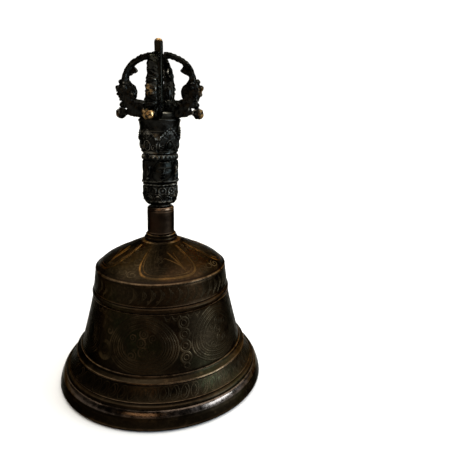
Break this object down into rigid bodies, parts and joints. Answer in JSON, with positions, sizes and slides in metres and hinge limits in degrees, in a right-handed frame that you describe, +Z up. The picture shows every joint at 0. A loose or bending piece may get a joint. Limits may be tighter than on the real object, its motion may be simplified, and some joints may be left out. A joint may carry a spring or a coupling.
{
  "type": "tibetan bell",
  "caption": "Free-standing hand bell: flared hollow cup, sleeve, cast handle with face, leaf crown and curved prongs round a spindle, and a swinging clapper inside.",
  "frame": {"origin": "centre of the rim's underside, on the table the bell stands on", "axes": "+Z up along the bell's axis from rim to spindle tip; -Y midway between the two front prongs, with the face on the handle looking 21.5 degrees from -Y towards -X; +X to the right as seen from -Y"},
  "size_m": [0.1, 0.1, 0.1654],
  "materials": {
    "bell_bronze": "dark brown patinated cast bronze, semi-gloss, with engraved bands worn to a copper tone",
    "sleeve_bronze": "turned bronze with a brown patina, brighter at its edges",
    "handle_brass": "rough cast brass, near-black patina, golden where hands have worn it",
    "iron": "dark oxidised iron"
  },
  "bodies": {
    "bell": {"bell_cup": "bell_bronze", "neck_collar": "sleeve_bronze", "handle_sleeve": "sleeve_bronze", "vase_base": "handle_brass", "face_drum": "handle_brass", "leaf_crown": "handle_brass", "prong_seat": "handle_brass", "center_prong": "handle_brass", "makara_prong_back_right": "handle_brass", "makara_prong_back_left": "handle_brass", "makara_prong_front_left": "handle_brass", "makara_prong_front_right": "handle_brass", "tie_rod": "iron", "crown_washer": "iron"},
    "hanger_link": {"hanger_link": "iron"},
    "clapper": {"clapper": "iron"}
  },
  "joints": [
    {"name": "link_swing", "type": "hinge", "parent": "bell", "child": "hanger_link", "pos_m": [0, 0, 0.0578], "axis": [1, 0, 0], "range_deg": [-12, 12]},
    {"name": "clapper_swing", "type": "hinge", "parent": "hanger_link", "child": "clapper", "pos_m": [0, 0, 0.0521], "axis": [0, 1, 0], "range_deg": [-42, 42]}
  ]
}
